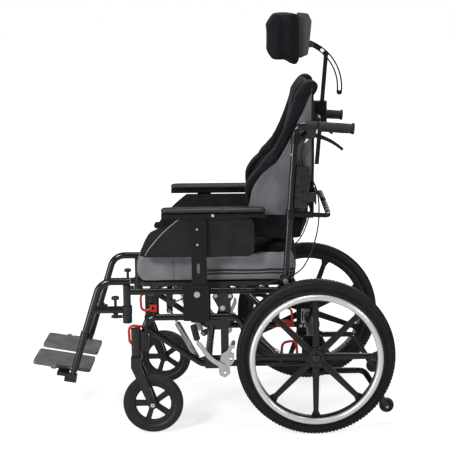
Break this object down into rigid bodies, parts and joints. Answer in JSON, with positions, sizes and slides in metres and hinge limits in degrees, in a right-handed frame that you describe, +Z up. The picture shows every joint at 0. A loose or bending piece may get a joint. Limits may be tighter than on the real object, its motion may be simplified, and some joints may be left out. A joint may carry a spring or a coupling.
{
  "type": "tilt in space wheelchair",
  "caption": "Wheelchair whose seat and back tilt together on gas struts, with reclining back, headrest, swing-away footrests, large rear wheels and small front casters.",
  "frame": {"origin": "middle of the footprint, on the floor", "axes": "+Z up, the chair faces -X, its right side is +Y"},
  "size_m": [1.2202, 0.653, 1.382],
  "materials": {
    "aluminium": "satin anodised",
    "bright_steel": "zinc plated",
    "cable_black": "smooth sheath",
    "cover_black": "stretch cover",
    "footplate_grey": "textured coat",
    "frame_black": "gloss powder coat",
    "grip_rubber": "ribbed",
    "guard_plastic": "fine grain",
    "mesh_grey": "spacer mesh",
    "pad_black": "soft skin foam",
    "pan_plastic": "fine grain",
    "shell_grey": "coarse grain",
    "strut_black": "gloss",
    "tie_down_red": "gloss",
    "tyre_rubber": "matte rubber",
    "wheel_plastic": "satin moulded nylon"
  },
  "bodies": {
    "base": {"base_frame": "frame_black", "axle_plates": "frame_black", "axle_cross_tube": "frame_black", "axle_fittings": "bright_steel", "base_bolts_and_bearings": "bright_steel", "tie_down_loops": "tie_down_red", "wheel_lock_brackets": "bright_steel"},
    "gas_strut_bodies": {"gas_strut_bodies": "strut_black"},
    "gas_strut_rods": {"gas_strut_rods": "bright_steel"},
    "seat": {"seat_frame": "frame_black", "seat_pan": "pan_plastic", "seat_cushion": "mesh_grey", "arm_receivers": "frame_black", "seat_bolts": "bright_steel", "seat_cables": "cable_black"},
    "back": {"back_canes": "frame_black", "push_grips": "grip_rubber", "back_cross_bars": "frame_black", "back_shell": "pan_plastic", "back_cushion": "mesh_grey", "back_bolsters": "cover_black", "back_cables": "cable_black"},
    "headrest_post": {"headrest_post": "frame_black"},
    "headrest_bar": {"headrest_bar": "frame_black"},
    "headrest": {"headrest_shell": "shell_grey", "headrest_pad": "cover_black"},
    "right_wheel": {"right_tyre": "tyre_rubber", "right_mag_wheel": "wheel_plastic", "right_handrim": "aluminium"},
    "right_caster_fork": {"right_caster_fork": "frame_black"},
    "right_caster_wheel": {"right_caster_wheel": "wheel_plastic"},
    "right_lock_lever": {"right_wheel_lock_lever": "bright_steel"},
    "right_lock_shoe": {"right_wheel_lock_shoe": "bright_steel"},
    "right_anti_tip_arm": {"right_anti_tip_arm": "frame_black"},
    "right_anti_tip_wheel": {"right_anti_tip_wheel": "tyre_rubber"},
    "right_arm": {"right_armrest_post": "frame_black", "right_armrest_pad": "pad_black", "right_side_guard": "guard_plastic"},
    "right_hanger": {"right_hanger": "frame_black"},
    "right_release_knob": {"right_release_knob": "frame_black"},
    "right_extension": {"right_footrest_extension": "frame_black"},
    "right_footplate": {"right_footplate": "footplate_grey"},
    "right_release_lever": {"right_release_lever": "frame_black"},
    "left_wheel": {"left_tyre": "tyre_rubber", "left_mag_wheel": "wheel_plastic", "left_handrim": "aluminium"},
    "left_caster_fork": {"left_caster_fork": "frame_black"},
    "left_caster_wheel": {"left_caster_wheel": "wheel_plastic"},
    "left_lock_lever": {"left_wheel_lock_lever": "bright_steel"},
    "left_lock_shoe": {"left_wheel_lock_shoe": "bright_steel"},
    "left_anti_tip_arm": {"left_anti_tip_arm": "frame_black"},
    "left_anti_tip_wheel": {"left_anti_tip_wheel": "tyre_rubber"},
    "left_arm": {"left_armrest_post": "frame_black", "left_armrest_pad": "pad_black", "left_side_guard": "guard_plastic"},
    "left_hanger": {"left_hanger": "frame_black"},
    "left_release_knob": {"left_release_knob": "frame_black"},
    "left_extension": {"left_footrest_extension": "frame_black"},
    "left_footplate": {"left_footplate": "footplate_grey"},
    "left_release_lever": {"left_release_lever": "frame_black"}
  },
  "joints": [
    {"name": "tilt", "type": "hinge", "parent": "base", "child": "seat", "pos_m": [0.03606, 0, 0.415], "axis": [0, 1, 0], "range_deg": [0, 40]},
    {"name": "recline", "type": "hinge", "parent": "seat", "child": "back", "pos_m": [0.24506, 0, 0.509], "axis": [0, 1, 0], "range_deg": [0, 30]},
    {"name": "strut_swing", "type": "hinge", "parent": "base", "child": "gas_strut_bodies", "pos_m": [-0.04694, 0, 0.213], "axis": [0, 1, 0], "range_deg": [0, 15.04]},
    {"name": "strut_stroke", "type": "slide", "parent": "gas_strut_bodies", "child": "gas_strut_rods", "axis": [-0.4665, 0, 0.8845], "range_m": [0, 0.10597]},
    {"name": "right_wheel_spin", "type": "hinge", "parent": "base", "child": "right_wheel", "pos_m": [0.34206, 0.28, 0.2625], "axis": [0, 1, 0], "continuous": true},
    {"name": "right_caster_swivel", "type": "hinge", "parent": "base", "child": "right_caster_fork", "pos_m": [-0.24994, 0.2475, 0.3], "axis": [0, 0, 1], "continuous": true},
    {"name": "right_caster_spin", "type": "hinge", "parent": "right_caster_fork", "child": "right_caster_wheel", "pos_m": [-0.19794, 0.2475, 0.1], "axis": [0, 1, 0], "continuous": true},
    {"name": "right_wheel_lock", "type": "hinge", "parent": "base", "child": "right_lock_lever", "pos_m": [0.03406, 0.246, 0.222], "axis": [0, -1, 0], "range_deg": [0, 35]},
    {"name": "right_lock_shoe_swing", "type": "hinge", "parent": "base", "child": "right_lock_shoe", "pos_m": [0.05006, 0.246, 0.262], "axis": [0, 1, 0], "range_deg": [0, 7.4]},
    {"name": "right_anti_tip_turn", "type": "hinge", "parent": "base", "child": "right_anti_tip_arm", "pos_m": [0.34206, 0.207, 0.189], "axis": [-1, 0, 0], "range_deg": [0, 180]},
    {"name": "right_anti_tip_spin", "type": "hinge", "parent": "right_anti_tip_arm", "child": "right_anti_tip_wheel", "pos_m": [0.58506, 0.207, 0.066], "axis": [0, 1, 0], "continuous": true},
    {"name": "right_arm_height", "type": "slide", "parent": "seat", "child": "right_arm", "axis": [0, 0, 1], "range_m": [0, 0.075]},
    {"name": "right_hanger_swing", "type": "hinge", "parent": "seat", "child": "right_hanger", "pos_m": [-0.28194, 0.195, 0.45], "axis": [0, 0, -1], "range_deg": [0, 90]},
    {"name": "right_knob_pull", "type": "slide", "parent": "right_hanger", "child": "right_release_knob", "axis": [0, 0, 1], "range_m": [0, 0.008], "stiffness_N_per_m": 800, "springref_m": -0.002},
    {"name": "right_leg_length", "type": "slide", "parent": "right_hanger", "child": "right_extension", "axis": [-0.3011, 0, -0.9536], "range_m": [0, 0.06]},
    {"name": "right_footplate_flip", "type": "hinge", "parent": "right_extension", "child": "right_footplate", "pos_m": [-0.50561, 0.173, 0.19972], "axis": [-0.9848, 0, 0.1736], "range_deg": [0, 90]},
    {"name": "right_tilt_release", "type": "hinge", "parent": "back", "child": "right_release_lever", "pos_m": [0.33406, 0.225, 0.99], "axis": [0, -1, 0], "range_deg": [0, 18], "stiffness_Nm_per_rad": 1.2, "springref_deg": -11.46},
    {"name": "left_wheel_spin", "type": "hinge", "parent": "base", "child": "left_wheel", "pos_m": [0.34206, -0.28, 0.2625], "axis": [0, 1, 0], "continuous": true},
    {"name": "left_caster_swivel", "type": "hinge", "parent": "base", "child": "left_caster_fork", "pos_m": [-0.24994, -0.2475, 0.3], "axis": [0, 0, 1], "continuous": true},
    {"name": "left_caster_spin", "type": "hinge", "parent": "left_caster_fork", "child": "left_caster_wheel", "pos_m": [-0.19794, -0.2475, 0.1], "axis": [0, 1, 0], "continuous": true},
    {"name": "left_wheel_lock", "type": "hinge", "parent": "base", "child": "left_lock_lever", "pos_m": [0.03406, -0.246, 0.222], "axis": [0, -1, 0], "range_deg": [0, 35]},
    {"name": "left_lock_shoe_swing", "type": "hinge", "parent": "base", "child": "left_lock_shoe", "pos_m": [0.05006, -0.246, 0.262], "axis": [0, 1, 0], "range_deg": [0, 7.4]},
    {"name": "left_anti_tip_turn", "type": "hinge", "parent": "base", "child": "left_anti_tip_arm", "pos_m": [0.34206, -0.207, 0.189], "axis": [1, 0, 0], "range_deg": [0, 180]},
    {"name": "left_anti_tip_spin", "type": "hinge", "parent": "left_anti_tip_arm", "child": "left_anti_tip_wheel", "pos_m": [0.58506, -0.207, 0.066], "axis": [0, 1, 0], "continuous": true},
    {"name": "left_arm_height", "type": "slide", "parent": "seat", "child": "left_arm", "axis": [0, 0, 1], "range_m": [0, 0.075]},
    {"name": "left_hanger_swing", "type": "hinge", "parent": "seat", "child": "left_hanger", "pos_m": [-0.28194, -0.195, 0.45], "axis": [0, 0, 1], "range_deg": [0, 90]},
    {"name": "left_knob_pull", "type": "slide", "parent": "left_hanger", "child": "left_release_knob", "axis": [0, 0, 1], "range_m": [0, 0.008], "stiffness_N_per_m": 800, "springref_m": -0.002},
    {"name": "left_leg_length", "type": "slide", "parent": "left_hanger", "child": "left_extension", "axis": [-0.3011, 0, -0.9536], "range_m": [0, 0.06]},
    {"name": "left_footplate_flip", "type": "hinge", "parent": "left_extension", "child": "left_footplate", "pos_m": [-0.50561, -0.173, 0.19972], "axis": [0.9848, 0, -0.1736], "range_deg": [0, 90]},
    {"name": "left_tilt_release", "type": "hinge", "parent": "back", "child": "left_release_lever", "pos_m": [0.33406, -0.225, 0.99], "axis": [0, -1, 0], "range_deg": [0, 18], "stiffness_Nm_per_rad": 1.2, "springref_deg": -11.46},
    {"name": "headrest_height", "type": "slide", "parent": "back", "child": "headrest_post", "axis": [0.0837, 0, 0.9965], "range_m": [0, 0.1]},
    {"name": "headrest_reach", "type": "hinge", "parent": "headrest_post", "child": "headrest_bar", "pos_m": [0.28079, 0, 1.12665], "axis": [0, -1, 0], "range_deg": [-5, 25]},
    {"name": "headrest_tilt", "type": "hinge", "parent": "headrest_bar", "child": "headrest", "pos_m": [0.34606, 0, 1.273], "axis": [0, 1, 0], "range_deg": [-15, 15]}
  ],
  "couplings": [
    {"joint": "strut_swing", "follows": "tilt", "ratio": 0.37594},
    {"joint": "strut_stroke", "follows": "tilt", "m_per_rad": 0.15177},
    {"joint": "right_lock_shoe_swing", "follows": "right_wheel_lock", "ratio": 0.20857},
    {"joint": "left_lock_shoe_swing", "follows": "left_wheel_lock", "ratio": 0.20857}
  ]
}
